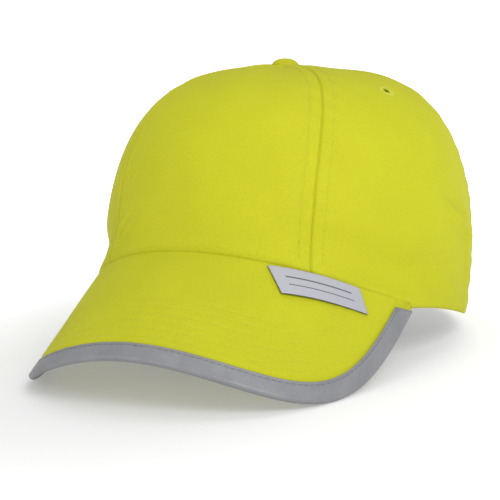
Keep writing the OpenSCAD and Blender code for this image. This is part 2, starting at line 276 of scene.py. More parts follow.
def crown_at(th, t):
    th, t = np.broadcast_arrays(np.asarray(th, float), np.asarray(t, float))
    rho = np.maximum(dcos(90 * t), 0) ** (2 / mix(rear_p, front_p, frontness(th)))
    w = np.maximum(dsin(90 * t), 0) ** (2 / q_of(th))
    r = plan_r(th) * rho - tuck(th) * (1 - w) ** 3
    return np.stack([r * dsin(th), -r * dcos(th) + apex_y * (1 - rho), rim_z(th) * (1 - w) + crown_h * w], -1)


def unit(v):
    return v / np.maximum(np.linalg.norm(v, axis=-1, keepdims=True), 1e-12)


def crown_normal(th, t):
    th, t = np.broadcast_arrays(np.asarray(th, float), np.asarray(t, float))
    low, high = np.clip(t - 0.01, 0, 1), np.clip(t + 0.01, 0, 1)
    n = unit(np.cross(crown_at(th + 0.5, t) - crown_at(th - 0.5, t), crown_at(th, high) - crown_at(th, low)))
    return np.where((t > 0.99)[..., None], [0.0, 0.0, 1.0], n)


def crown(th, t, d):
    return crown_at(th, t) + np.asarray(d, float)[..., None] * crown_normal(th, t)


def t_at(th, h):
    """The t of a height above the rim; height_at is its reverse."""
    share = np.clip(np.maximum(h, 0) / (crown_h - rim_z(th)), 0, 1)
    return np.degrees(np.arcsin(share ** (q_of(th) / 2))) / 90


def height_at(th, t):
    return (crown_h - rim_z(th)) * dsin(90 * t) ** (2 / q_of(th))


def from_axis(p, t):
    """Distance of a point of the crown from the crown's leaning middle line."""
    return np.hypot(p[..., 0], p[..., 1] - apex_y * (1 - np.maximum(dcos(90 * t), 0)))


def top_t(th, hole_r=3.2):
    return np.degrees(np.arccos((hole_r / plan_r(th)) ** (mix(rear_p, front_p, frontness(th)) / 2))) / 90


def front_seam(t):
    return mix(front_seam_low, front_seam_top, np.asarray(t, float) ** 1.4)


def ripple(s, length, seed):
    return np.sin(2 * pi * s / length + 1.7 * np.sin(s / (length * 1.9) + seed) + seed)


topstitch_off = 5.6  # from the seam to the row of topstitching beside it

# Soft creases where the cloth has been folded or pulled: angle and height above the rim, direction
# of the crease in degrees from level, its length, width and height in millimetres.
creases = [
    (-25.7, 9, 24, 16, 1.3, 1.1), (-26.8, 12.5, 44, 12, 1.2, 1.0), (-30.5, 15, 60, 17, 1.5, 0.9),
    (-23, 15, 20, 18, 1.8, 0.8), (96, 42, -17, 32, 2.8, 2.2), (92, 50, -22, 24, 3.0, -1.3),
    (84, 13, -16, 24, 3.0, 1.5), (70, 16, 3, 100, 11.0, -2.2), (99, 27, -74, 28, 2.8, -1.5),
    (52, 50, 66, 50, 9, 0.5), (-24, 48, 12, 46, 7, 0.6), (-18, 30, 8, 40, 6, -0.5),
    (132, 42, -50, 46, 5, 1.2), (142, 24, -36, 36, 4, 1.0), (150, 64, 40, 60, 8, 1.0),
    (158, 88, 20, 44, 6, -0.8), (-104, 50, 48, 46, 5, 1.2), (-96, 30, 30, 44, 4.5, 0.9),
    (-132, 26, 40, 40, 4, 1.0), (-150, 68, -36, 58, 8, 1.1), (-70, 36, -20, 52, 7, 0.8),
    (-160, 92, -18, 40, 6, -0.8), (-66, 80, 60, 40, 8, 0.5), (4, 85, 82, 60, 16, 0.35),
    (30, 70, -70, 50, 12, -0.35),
]


def waist(th, low):
    """The cloth draws in above the peak's two ends, deepest 16 mm over the rim."""
    return -3.6 * np.exp(-((turn(th) - 58) / 21) ** 2) * np.exp(-((low - 16) / 11) ** 2)


def cloth_lift(th, t):
    """How far the sewn cloth stands off the smooth crown, in millimetres."""
    th, t = np.broadcast_arrays(np.asarray(th, float), np.asarray(t, float))
    p = crown_at(th, t)
    r = np.maximum(from_axis(p, t), 1)
    low = height_at(th, t)
    top = np.hypot(p[..., 0], p[..., 1] - apex_y)
    wrapped = (th + 180) % 360 - 180
    seam_fold = np.zeros_like(p[..., 0])
    lift = np.zeros_like(p[..., 0])
    seams = ((front_seam(t), 0.3), (-front_seam(t), 1.9), (back_seam, 3.1), (-back_seam, 4.4), (180, 5.2))
    for seam, seed in seams:
        off = np.radians(np.abs((wrapped - seam + 180) % 360 - 180)) * r
        gathered = 1.3 * np.exp(-(off / 4.0) ** 2) * np.exp(-((top - 11) / 9) ** 2)
        seam_fold = np.maximum(seam_fold, 0.28 * (1 - ease((off - 5.4) / 1.6)) + gathered)
        beside = 1 - ease((9 - top) / 4)
        lift -= beside * (0.8 * np.exp(-(off / 0.62) ** 2)
                          + 0.20 * np.exp(-((off - topstitch_off) / 0.6) ** 2))
        lift += 0.18 * ripple(low, 8.3, seed) * np.exp(-((off - 4.5) / 4.0) ** 2)
    lift += seam_fold + waist(th, low)
    for at, level, lean, length, width, height in creases:
        x = np.radians((wrapped - at + 180) % 360 - 180) * plan_r(at)
        y = low - level
        along = x * cos(radians(lean)) + y * sin(radians(lean))
        across = y * cos(radians(lean)) - x * sin(radians(lean)) + 0.02 * along ** 2 / max(width, 4)
        lift += height * np.exp(-(across / width) ** 2) * np.exp(-(along / (0.55 * length)) ** 4)
    lift += 0.22 * np.sin(th / 9.0 + 3 * t) * np.sin(7.3 * t + th / 31.0 + 1.1)
    over_peak = 1 - ease((turn(th) - 58) / 8)
    lift += over_peak * (0.6 * np.exp(-((low - 3.6) / 2.6) ** 2) - 0.6 * np.exp(-(low / 1.1) ** 2))
    lift += (1 - over_peak) * (0.35 * np.exp(-((low - 4) / 3.0) ** 2) - 0.5 * np.exp(-(low / 0.9) ** 2))
    lift += 0.5 * np.exp(-(top / 9.0) ** 2)
    return lift


# ------------------------------------------------------------
# Cloth: plain woven polyester dyed fluorescent yellow, about 24 threads a centimetre, drawn at
# 0.75 mm so that it shows. It gives an even bright face, a fine grain and a soft sheen.


def steps(n):
    return np.linspace(0, 1, n + 1)


def cloth_sheet(name, columns, rows, spot, thick, bevel=0.0):
    """A grid laid where spot(a, b) says, a across and b up, both from 0 to 1. It is thickened away
    from its outer face, and its UV map is in millimetres along and across the threads."""
    bpy.ops.object.select_all(action="DESELECT")
    bpy.ops.mesh.primitive_grid_add(x_subdivisions=columns, y_subdivisions=rows, size=1, location=(0, 0, 0))
    sheet = bpy.context.object
    sheet.name = sheet.data.name = name
    flat = np.empty(len(sheet.data.vertices) * 3, np.float32)
    sheet.data.vertices.foreach_get("co", flat)
    flat = flat.reshape(-1, 3)
    col = np.rint((flat[:, 0] + 0.5) * columns).astype(int)
    row = np.rint((flat[:, 1] + 0.5) * rows).astype(int)
    a, b = np.meshgrid(steps(columns), steps(rows), indexing="ij")
    points = spot(a, b)
    sheet.data.vertices.foreach_set("co", standing(points)[col, row].astype(np.float32).ravel())
    across = np.cumsum(np.linalg.norm(np.diff(points, axis=0, prepend=points[:1]), axis=-1), axis=0)
    middle = columns // 2
    across -= across[middle]
    along = np.cumsum(np.linalg.norm(np.diff(points[middle], axis=0, prepend=points[middle][:1]), axis=-1))
    uv = np.stack([across, np.broadcast_to(along, across.shape)], -1)[col, row]
    corner = np.empty(len(sheet.data.loops), int)
    sheet.data.loops.foreach_get("vertex_index", corner)
    sheet.data.uv_layers[0].data.foreach_set("uv", uv[corner].astype(np.float32).ravel())
    sheet.data.uv_layers[0].name = "threads"
    sheet.data.update()
    if thick:
        finish_modifier(sheet, "SOLIDIFY", thickness=thick / 1000, offset=-1.0)
    if bevel:
        finish_modifier(sheet, "BEVEL", width=bevel / 1000, segments=3, limit_method="ANGLE",
                        angle_limit=radians(50))
    bpy.ops.object.shade_smooth()
    return sheet


def pick(obj):
    bpy.ops.object.select_all(action="DESELECT")
    obj.select_set(True)
    bpy.context.view_layer.objects.active = obj


def finish_modifier(obj, kind, **settings):
    pick(obj)
    modifier = obj.modifiers.new(kind.title(), kind)
    for key, value in settings.items():
        setattr(modifier, key, value)
    bpy.ops.object.modifier_apply(modifier=modifier.name)


# A wave texture of this scale repeats every unit of its vector: a millimetre on the threads' UV map.
wave_length_1mm = 0.314159


def thread_uv(tree):
    return add_node(tree, "ShaderNodeUVMap", {"uv_map": "threads"}).outputs[0]


def woven(name, colour, shade, thread, depth, roughness, sheen, lean=0.0):
    """Woven cloth: colour on the raised threads and shade, a darker tone painted into the hollows of the
    weave as shade; thread spacing in mm.
    """
    made, tree = new_material(name)
    turned = add_node(tree, "ShaderNodeMapping", {"Rotation": (0, 0, lean)},
                      {"Vector": thread_uv(tree)}).outputs[0]
    warp, weft = (add_node(tree, "ShaderNodeTexWave",
                           {"bands_direction": direction, "Scale": wave_length_1mm / thread,
                            "Distortion": 0.6, "Detail": 2.0, "Detail Scale": 2.0},
                           {"Vector": turned}).outputs["Fac"]
                  for direction in "XY")
    weave = compute(tree, "ADD", warp, weft)
    slub = noise(tree, turned, 0.9, 4.0, 0.6)
    tone = compute(tree, "MULTIPLY_ADD", weave, 0.14, slub)
    # Painted shade: where the weave sits low the colour runs to the darker shade; the slub adds a random
    # tone.
    base = blended(tree, spanned(tree, tone, 0.15, 1.05), shade, colour)
    drift = spanned(tree, noise(tree, turned, 0.035, 3.0), 0.3, 0.7, 0.97, 1.03)
    shaded = add_node(tree, "ShaderNodeHueSaturation", {}, {"Value": drift, "Color": base}).outputs[0]
    bump = bumped(tree, compute(tree, "MULTIPLY_ADD", weave, 0.5, slub), 1.0, depth / 1000)
    finish_material(tree, {"Roughness": roughness, "IOR": 1.5, "Specular IOR Level": 0.25,
                           "Sheen Weight": sheen, "Sheen Roughness": 0.5, "Sheen Tint": linear(colour)},
                    {"Base Color": shaded, "Normal": bump})
    return made


hi_vis_cloth = woven("fluorescent polyester cloth, woven", "#bebf1e", "#acad17", 0.75, 0.06, 0.78, 0.12)
hi_vis_thread = mottled("fluorescent polyester thread, spun", ("#aeb118", "#c5c823"), 2200.0, 2.0,
                        {"Roughness": 0.6, "Sheen Weight": 0.1}, grain=(noise, (2200.0, 2.0), 0.6, 0.0001))

# Front panel: one wide piece of cloth with no centre seam. Columns crowd towards its two seams,
# where the edge turns in, and its foot rolls over the seam with the peak.


def crowded(a, power=0.72):
    """Spreads 0 to 1 so that the ends get finer steps."""
    x = 2 * a - 1
    return 0.5 + 0.5 * np.sign(x) * (1 - (1 - np.abs(x)) ** (1 / power))


def dress(obj, material, body, node=None):
    """Gives a piece its material, the body it rides on and the CAD node it stands for."""
    obj.data.materials.append(material)
    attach(obj, body)
    if node:
        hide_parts(node)
    return obj


def crown_panel(name, angle_at, foot, columns, rows, vent=None):
    """A crown panel: angle_at(a, t) runs from one seam to the other and foot(a) is where it starts."""
    def spot(a, b):
        low, high = foot(a), top_t(angle_at(a, 1.0))
        t = low + (high - low) * b ** 1.3
        th = angle_at(a, t)
        return crown(th, t, cloth_lift(th, t))
    panel = cloth_sheet(name + "_cloth", columns, rows, spot, 0.6)
    if vent:
        punch_vent(panel, *vent)
    return dress(panel, hi_vis_cloth, "cap", name)


vent_r = 1.7


def punch_vent(panel, th, t):
    """Cuts the vent hole with a punch that stands square to the cloth."""
    bpy.ops.object.select_all(action="DESELECT")
    bpy.ops.mesh.primitive_cylinder_add(vertices=32, radius=vent_r / 1000, depth=0.012)
    punch = bpy.context.object
    square = Vector(unit(tipped(crown_normal(th, t)))).to_track_quat("Z", "Y")
    punch.matrix_world = Matrix.Translation(standing(crown_at(th, t))) @ square.to_matrix().to_4x4()
    bpy.ops.object.transform_apply()
    finish_modifier(panel, "BOOLEAN", operation="DIFFERENCE", solver="EXACT", object=punch)
    bpy.data.objects.remove(punch)


def front_angle(a, t):
    return front_seam(t) * (2 * crowded(a) - 1)


front_cloth = crown_panel("front_panel", front_angle, lambda a: 0 * a, 190, 130)

# Side panels, left and right: from the front seam to the back seam, each with one vent high up.
side_vent = (78.0, 0.67)
back_vent = (148.0, 0.62)


def side_angle(a, t):
    return mix(front_seam(t), back_seam, crowded(a))


def mirrored(angle_at):
    return lambda a, t: -angle_at(1 - a, t)


side_cloth_left = crown_panel("side_panel_left", side_angle, lambda a: 0 * a, 150, 130, side_vent)
side_cloth_right = crown_panel("side_panel_right", mirrored(side_angle), lambda a: 0 * a, 150, 130,
                               (-side_vent[0], side_vent[1]))

# Back panels, left and right: they meet in the rear centre seam, and their feet are cut away in
# an arch for the strap. Angles crowd where the arch rises steeply.
arch_half_w, arch_h, rear_rim_y = 37.0, 45.0, 88.3
arch_angle = degrees(arch_half_w / rear_rim_y)


def arch_t(th):
    s = np.radians(np.abs(180 - np.abs(th))) * rear_rim_y
    h = arch_h * np.sqrt(np.clip(1 - (s / arch_half_w) ** 2, 0, 1))
    return np.where(s >= arch_half_w, 0.0, t_at(th, h))


def back_angle(a, t):
    share = 0.45
    before = mix(back_seam, 180 - arch_angle, np.clip(a / share, 0, 1))
    after = 180 - arch_angle * dcos(90 * np.clip((a - share) / (1 - share), 0, 1))
    return np.where(a < share, before, after) + 0 * t


def back_foot(a):
    return arch_t(back_angle(a, 0.0))


back_cloth_left = crown_panel("back_panel_left", back_angle, back_foot, 130, 120, back_vent)
back_cloth_right = crown_panel("back_panel_right", mirrored(back_angle), lambda a: back_foot(1 - a), 130, 120,
                               (-back_vent[0], back_vent[1]))

# ------------------------------------------------------------
# Topstitching: a twin needle row each side of every crown seam. One stitch is a flattened bead of
# thread 2.4 mm long; it is laid again and again along the row.


def stitch_row(points, normals, pitch=3.0):
    """Stitch centres, tangents and normals, evenly spaced along a line of points."""
    run = np.concatenate([[0], np.cumsum(np.linalg.norm(np.diff(points, axis=0), axis=1))])
    at = np.arange(pitch / 2, run[-1] - pitch / 2, pitch)
    spread = [np.stack([np.interp(at, run, arr[:, k]) for k in range(3)], -1)
              for arr in (points, normals, np.gradient(points, run, axis=0))]
    return spread[0], unit(spread[2]), unit(spread[1])


def sew(name, rows, body, thread, length=2.4, width=0.42, sink=0.02):
    """One mesh with a stitch at each place of the rows, sunk a little into the cloth."""
    bpy.ops.object.select_all(action="DESELECT")
    bpy.ops.mesh.primitive_uv_sphere_add(segments=6, ring_count=5, radius=0.5, location=(0, 0, 0))
    bead = bpy.context.object
    shape = np.array([v.co for v in bead.data.vertices])
    shape = np.stack([shape[:, 2] * length, shape[:, 0] * width, shape[:, 1] * width * 0.8], -1)
    sides = [list(f.vertices) for f in bead.data.polygons]
    bpy.data.objects.remove(bead)
    spots, faces, done = [], [], 0
    for centre, tangent, normal in rows:
        across = unit(np.cross(normal, tangent))
        for c, t, s, n in zip(centre, tangent, across, normal):
            spots.append(c + shape[:, :1] * t + shape[:, 1:2] * s + (shape[:, 2:] + width * 0.25 - sink) * n)
            faces += [[k + done for k in f] for f in sides]
            done += len(shape)
    mesh = bpy.data.meshes.new(name)
    mesh.from_pydata(standing(np.concatenate(spots)).tolist(), [], faces)
    seam_thread = bpy.data.objects.new(name, mesh)
    bpy.context.scene.collection.objects.link(seam_thread)
    turn_outwards(seam_thread)
    dress(seam_thread, thread, body)


def turn_outwards(obj, merge=0.0):
    pick(obj)
    bpy.ops.object.mode_set(mode="EDIT")
    bpy.ops.mesh.select_all(action="SELECT")
    if merge:
        bpy.ops.mesh.remove_doubles(threshold=merge)
    bpy.ops.mesh.normals_make_consistent(inside=False)
    bpy.ops.object.mode_set(mode="OBJECT")
    bpy.ops.object.shade_smooth()


def crown_row(angle_at, shift, start=0.012, stop=0.93):
    """A row of stitches at a distance in millimetres beside a seam of the crown."""
    t = np.linspace(start, stop, 160)
    seam = angle_at(t) + 0 * t
    p = crown_at(seam, t)
    th = seam + np.degrees(shift / np.maximum(from_axis(p, t), 6))
    return stitch_row(crown(th, t, cloth_lift(th, t)), crown_normal(th, t))


crown_seams = [front_seam, lambda t: -front_seam(t), lambda t: back_seam, lambda t: -back_seam]
arch_start = float(arch_t(180.0)) + 0.02
sew("crown_topstitching",
    [crown_row(seam, side * topstitch_off) for seam in crown_seams for side in (-1, 1)]
    + [crown_row(lambda t: 180.0, side * topstitch_off, arch_start) for side in (-1, 1)],
    "cap", hi_vis_thread)

# Vents: a satin stitched ring of thread round each punched hole, 36 strokes of thread a turn.


def loop_sheet(name, columns, rows, spot):
    """A ring or tube: a grid whose ends meet, closed by merging them."""
    ring = cloth_sheet(name, columns, rows, spot, 0)
    turn_outwards(ring, merge=0.00001)
    return ring


def vent_ring(name, th, t):
    n = crown_normal(th, t)
    side = unit(np.cross([0.0, 0.0, 1.0], n))
    rise = np.cross(n, side)
    base = crown_at(th, t) + (float(cloth_lift(th, t)) + 0.05) * n

    def spot(a, b):
        round_hole, section = 2 * pi * a, 2 * pi * b
        stroke = 1 + 0.22 * np.cos(36 * round_hole)
        radius = 2.85 + (1.25 + 0.10 * np.cos(17 * round_hole)) * np.cos(section)
        height = 0.42 * np.sin(section) * stroke
        bow = -(radius ** 2) / 150
        return (base + (radius * np.cos(round_hole))[..., None] * side
                + (radius * np.sin(round_hole))[..., None] * rise + (height + bow)[..., None] * n)
    return loop_sheet(name, 144, 10, spot)


rings = [vent_ring("ring", sign * th, t) for th, t in (side_vent, back_vent) for sign in (1, -1)]
bpy.ops.object.select_all(action="DESELECT")
for ring in rings:
    ring.select_set(True)
bpy.context.view_layer.objects.active = rings[0]
bpy.ops.object.join()
vents = bpy.context.object
vents.name = "vent_embroidery"
dress(vents, hi_vis_thread, "cap", "vent_eyelets")

# Button: cloth drawn over the stud's dome and pinched under it, with small pull folds at its foot.
button_r, button_h, button_lift = 6.8, 4.3, 0.1


def button_spot(a, b):
    round_button, rise = 2 * pi * a, radians(90) * b
    folds = 1 + 0.012 * np.cos(13 * round_button + 0.8) * (1 - b) ** 1.5
    radius = button_r * np.cos(rise) ** 0.86 * folds * np.where(b < 0.02, 0.9, 1)
    height = button_lift + 0.2 + button_h * np.sin(rise) ** 1.02
    return np.stack([radius * np.cos(round_button), apex_y + radius * np.sin(round_button),
                     crown_h + height], -1)


button = loop_sheet("top_button_cloth", 96, 28, button_spot)
dress(button, hi_vis_cloth, "cap", "top_button")

# ------------------------------------------------------------
# Peak: a polyethylene board between two covers of the same cloth. The flat outline is bent to a
# radius and slopes down; s runs across it, v from its ends to its front edge, h is off its face.
corner_s, corner_v, board_t = 3.1, 3.9, 1.2
board_to, binding_to, binding_w = 0.92, 0.922, 9.0
binding_low, binding_top = -1.8 - board_t, 0.4


def flat_place(x, y):
    return bend_r * np.arcsin(x / bend_r), (-crown_front - y + sag(x) * sin(droop)) / cos(droop)


peak_end_s = float(flat_place(rim_r(peak_end) * dsin(peak_end), -rim_r(peak_end) * dcos(peak_end))[0])


def outline(f):
    f = np.asarray(f, float)
    u = 90 * np.sign(f) * ease(np.abs(f))
    taper = (peak_half_w - peak_end_s - 0.5) * np.clip((np.abs(u) - 55) / 35, 0, 1) ** 2
    return np.stack([np.sign(u) * (peak_half_w * np.abs(dsin(u)) ** (2 / corner_s) - taper),
                     peak_end_v + peak_len * np.abs(dcos(u)) ** (2 / corner_v)], -1)


def outline_in(f, inset):
    along = unit(outline(np.minimum(f + 0.01, 1)) - outline(np.maximum(f - 0.01, -1)))
    return outline(f) + np.asarray(inset, float)[..., None] * np.stack([along[..., 1], -along[..., 0]], -1)


def bent(sv, h):
    phi = sv[..., 0] / bend_r
    n = (bend_r + h) * np.cos(phi) - bend_r
    return np.stack([(bend_r + h) * np.sin(phi), -crown_front - sv[..., 1] * cos(droop) - n * sin(droop),
                     peak_z - sv[..., 1] * sin(droop) + n * cos(droop)], -1)


def root_sv(f, inset, out=-0.9):
    th = (peak_end - 1.2 * inset) * (f / board_to + outline(f)[..., 0] / outline(board_to)[0]) / 2
    r = rim_r(th) + out
    return np.stack(flat_place(r * dsin(th), -r * dcos(th)), -1)


edge_line = outline(np.linspace(-1, 1, 1400))


def edge_distance(sv):
    """Distance of each point of the flat board from its free edge."""
    flat_points = sv.reshape(-1, 2)
    near = [np.sqrt(((flat_points[k:k + 4000, None] - edge_line[None]) ** 2).sum(-1).min(1))
            for k in range(0, len(flat_points), 4000)]
    return np.concatenate(near).reshape(sv.shape[:-1])


quilt_rows = [14.2 + 4.7 * k for k in range(6)]


def quilted(sv):
    """The cover dips along each row of stitching and swells a little between the rows."""
    edge = edge_distance(sv)
    lift = 0.05 * np.sin(sv[..., 0] / 11 + sv[..., 1] / 7)
    for k, row in enumerate(quilt_rows):
        lift = lift - 0.24 * np.exp(-((edge - row) / 0.55) ** 2)
        lift = lift + 0.09 * ripple(sv[..., 0], 7.0 + k, 0.7 * k) * np.exp(-((edge - row) / 1.8) ** 2)
    lift = lift + 0.30 * ease((edge - 9.2) / 3) - 0.25 * np.exp(-((edge - 9.0) / 1.0) ** 2)
    return lift


def cover_spot(side, h, swell):
    """From a millimetre inside the free edge to the seam; side is 1 on top and -1 underneath."""
    def spot(a, b):
        f = board_to * side * (2 * a - 1)
        far, near = outline_in(f, 1.0), root_sv(f, 0.8)
        sv = far + (near - far) * b[..., None]
        return bent(sv, h + swell * side * quilted(sv))
    return spot


for name, side, h, swell in (("peak_top_cover", 1, 0.0, 1.0), ("peak_under_cover", -1, -0.85 - board_t, 0.8)):
    cover = cloth_sheet(name + "_cloth", 210, 150, cover_spot(side, h, swell), 0.25)
    dress(cover, hi_vis_cloth, "cap", name)


def quilt_row(row, side):
    f = np.linspace(-board_to, board_to, 700)
    sv = outline_in(f, row)
    table = np.linspace(-peak_end, peak_end, 300)
    r = rim_r(table) + 0.2
    seam_s, seam_v = flat_place(r * dsin(table), -r * dcos(table))
    ahead = (sv[:, 1] > np.interp(sv[:, 0], seam_s, seam_v) + 2.0) & (np.abs(sv[:, 0]) < peak_end_s - 1)
    sv = sv[ahead]
    h = (0.0 if side > 0 else -0.85 - board_t) + side * quilted(sv)
    flip = 1 if side > 0 else -1
    normals = flip * unit(bent(sv, h + 0.5) - bent(sv, h - 0.5))
    return stitch_row(bent(sv, h), normals, 2.7)


sew("peak_quilting", [quilt_row(row, side) for row in quilt_rows for side in (1, -1)], "cap",
    hi_vis_thread, length=2.1, width=0.30, sink=0.10)

board_plastic = mottled("polyethylene sheet, extruded", ("#dcdcd2", "#efefe8"), 60.0, 3.0,
                        {"Roughness": 0.38, "IOR": 1.51, "Subsurface Weight": 0.1})
refinish("peak_board", board_plastic)

# Binding: grey retroreflective tape folded over the peak's edge and sewn through both legs. Glass
# beads in grey resin on cloth backing give a dull silver with a fine speckle.
fold_r = (binding_top - binding_low) / 2
edge_in = 0.9  # where the flat legs end and the fold begins


def binding_section(b):
    """Inset from the free edge and level, round the folded tape from its under leg to its top leg."""
    leg, bend = binding_w - edge_in, pi * fold_r * 0.8
    total = 2 * leg + bend
    run = b * total
    turned = np.clip((run - leg) / bend, 0, 1) * pi
    inset = np.where(run < leg, binding_w - run,
                     np.where(run > leg + bend, edge_in + run - leg - bend, edge_in - 1.3 * np.sin(turned)))
    level = 0.5 * (binding_top + binding_low) - fold_r * np.cos(turned)
    return inset, level


def binding_spot(a, b):
    inset, level = binding_section(b)
    f = (2 * a - 1) * (binding_to - 0.003 * inset)
    sv = outline_in(f, inset)
    swell = 0.10 * np.sin(pi * np.clip(inset / binding_w, 0, 1))
    swell = swell + 0.035 * ripple(sv[..., 0] + 0.4 * sv[..., 1], 13.0, 0.4)
    swell = swell - 0.16 * np.exp(-((inset - 7.6) / 0.5) ** 2)
    upper = np.where(b > 0.5, 1.0, -1.0)
    return bent(sv, level + upper * swell * (inset > edge_in))


binding = cloth_sheet("peak_binding_tape", 300, 64, binding_spot, 0.32)
reflective, tree = new_material("retroreflective tape, glass beads on cloth")
uv = thread_uv(tree)
beads = spots(tree, uv, 2.2)
# The colour drifts with a broad random mottle and is a little lighter where the bead texture stands high.
bead_speckle_and_mottle = compute(tree, "MULTIPLY_ADD", beads, 0.25, noise(tree, uv, 0.05, 6.0, 0.65))
finish_material(tree, {"Metallic": 0.25, "Roughness": 0.5, "Specular IOR Level": 0.4},
                {"Base Color": blended(tree, spanned(tree, bead_speckle_and_mottle, 0.35, 0.85), "#7b7c80", "#909194"),
                 "Normal": bumped(tree, beads, 0.5, 0.00008)})
dress(binding, reflective, "cap", "peak_binding")

grey_thread = mottled("grey polyester thread, spun", ("#5d5f63", "#7e8085"), 2200.0, 2.0, {"Roughness": 0.6})


def binding_row(side):
    inset = 7.6
    f = np.linspace(-1, 1, 800) * (binding_to - 0.003 * inset - 0.004)
    sv = outline_in(f, inset)
    h = (binding_top if side > 0 else binding_low) - 0.1 * side
    normals = side * unit(bent(sv, h + 0.5) - bent(sv, h - 0.5))
    return stitch_row(bent(sv, h), normals, 3.0)


sew("binding_stitches", [binding_row(1), binding_row(-1)], "cap", grey_thread, width=0.34)

# ------------------------------------------------------------
# Label: silver woven satin, heat cut, caught by its top edge in the seam above the peak. Its cut edges are
# drawn as a thin dark line, partly the fused cut and partly painted shade at its thick edge. It carries two
# plain woven rules.
label_corners = np.array([[[49.35, 18.61], [37.65, 6.6]], [[86.79, 2.05], [77.9, -7.1]]])


def label_sv(a, b):
    low = mix(label_corners[0, 0], label_corners[1, 0], a[..., None])
    high = mix(label_corners[0, 1], label_corners[1, 1], a[..., None])
    return mix(low, high, b[..., None])


def label_spot(a, b):
    curl = 1.35 + 0.35 * (1 - b) ** 2 + 0.25 * (1 - b) * np.sin(pi * a * 1.6 + 0.3)
    return bent(label_sv(a, b), curl + 0.12 * np.sin(pi * a) * np.sin(pi * b))


label = cloth_sheet("seam_label_satin", 84, 32, label_spot, 0.45)
satin, tree = new_material("silver polyester satin, woven")
uv = thread_uv(tree)
float_threads = add_node(tree, "ShaderNodeTexWave",
                         {"bands_direction": "Y", "Scale": wave_length_1mm / 0.5, "Distortion": 1.0,
                          "Detail": 2.0},
                         {"Vector": uv}).outputs["Fac"]
across, upwards, _ = add_node(tree, "ShaderNodeSeparateXYZ", links={"Vector": uv}).outputs


def rule(level, half_length, half_width):
    """1 on a woven rule at that height of the label, in millimetres, and 0 off it."""
    off = compute(tree, "ABSOLUTE", compute(tree, "SUBTRACT", upwards, level))
    after = compute(tree, "GREATER_THAN", across, -half_length)
    before = compute(tree, "LESS_THAN", across, half_length)
    return compute(tree, "MULTIPLY", compute(tree, "LESS_THAN", off, half_width),
                   compute(tree, "MULTIPLY", after, before))


rules = compute(tree, "MAXIMUM", rule(9.6, 15.5, 0.42), rule(5.4, 15.5, 0.28))
face_tone = add_node(tree, "ShaderNodeMix", {"data_type": "RGBA", 7: linear("#5a5c66")},
                     {0: rules, 6: blended(tree, float_threads, "#9e9fa8", "#b5b6be")})
finish_material(tree, {"Roughness": 0.42, "Metallic": 0.1, "Specular IOR Level": 0.5},
                {"Base Color": face_tone.outputs[2], "Normal": bumped(tree, float_threads, 0.5, 0.00006)})
# The label's edge faces are dark grey: partly its fused heat-cut edge, partly painted shade where its thick
# edge stands off the peak.
cut_edge_and_painted_shade = mottled("satin edge, heat cut, with painted shade", ("#3e4046", "#595b62"), 900.0, 2.0, {"Roughness": 0.7})
dress(label, satin, "label", "seam_label")
label.data.materials.append(cut_edge_and_painted_shade)
# Faces that stand sideways take the dark edge colour with its painted shade.
face_up = unit(tipped(bent(np.array([62.0, 5.0]), 1.5) - bent(np.array([62.0, 5.0]), 0.5)))
for face in label.data.polygons:
    if abs(face.normal.dot(Vector(face_up))) < 0.55:
        face.material_index = 1

# ------------------------------------------------------------
# Inside of the crown. Interlining: stiff white open weave fused behind the front panel.


def inner_sheet(name, node, columns, rows, spot, thick, cloth):
    """A sheet on the inside of the crown, the CAD node it stands for and the piece it rests on."""
    made = dress(cloth_sheet(name, columns, rows, spot, thick), cloth, "cap", node)


open_weave = woven("cotton buckram, starched open weave", "#ecebe4", "#c9c8c0", 1.1, 0.22, 0.85, 0.05)


def buckram_spot(a, b):
    t = 0.06 + 0.8 * b
    th = (front_seam(t) - 5.5 / np.maximum(dcos(90 * t), 0.2)) * (2 * a - 1)
    return crown(th, t, -1.35 + 0.04 * np.sin(th / 3) + waist(th, height_at(th, t)))


inner_sheet("front_buckram_weave", "front_buckram", 60, 60, buckram_spot, 0.45, open_weave)

# Seam tapes: the same cloth, cut in a strip, folded over each inside seam and sewn down both sides.
tape_half_w = 6.0


def tape_spot(angle_at, start, stop):
    def spot(a, b):
        t = mix(start, stop, b)
        seam, side = angle_at(t), 2 * a - 1
        spread = np.degrees(tape_half_w / (plan_r(seam) * dcos(90 * t) ** 0.7))
        ridge = 0.35 * np.exp(-(side / 0.22) ** 2) - 0.12 * np.exp(-((np.abs(side) - 0.8) / 0.08) ** 2)
        depth = -1.45 - ridge + 0.05 * np.sin(120 * t) + waist(seam, height_at(seam, t))
        return crown(seam + side * spread, t, depth)
    return spot


arch_foot = float(arch_t(180.0))
for node, angle_at, start, length in (("front_seam_tape_left", front_seam, 0.1, 0.112),
                                      ("front_seam_tape_right", lambda t: -front_seam(t), 0.1, 0.112),
                                      ("back_seam_tape_left", lambda t: back_seam + 0 * t, 0.1, 0.138),
                                      ("back_seam_tape_right", lambda t: -back_seam + 0 * t, 0.1, 0.138),
                                      ("rear_centre_tape", lambda t: 180 + 0 * t, arch_foot + 0.09, 0.102)):
    inner_sheet(node + "_cloth", node, 14, 90, tape_spot(angle_at, start, 0.88), 0.5, hi_vis_cloth)

# Rear arch: its raw edge is covered by the same tape, bent round the arch on the inside.


def arch_tape_spot(a, b):
    angle = pi * (1 - a)
    grow = 8.3 - 7.6 * b
    th = 180 + np.degrees((arch_half_w + grow) * np.cos(angle) / rear_rim_y)
    h = 0.6 + (arch_h + grow) * np.sin(angle)
    puckers = 0.10 * np.sin(46 * angle) * (1 - b)
    return crown(th, t_at(th, h), -1.4 + puckers - 0.12 * np.exp(-((b - 0.15) / 0.06) ** 2))


inner_sheet("rear_opening_tape_cloth", "rear_opening_tape", 110, 10, arch_tape_spot, 0.5, hi_vis_cloth)


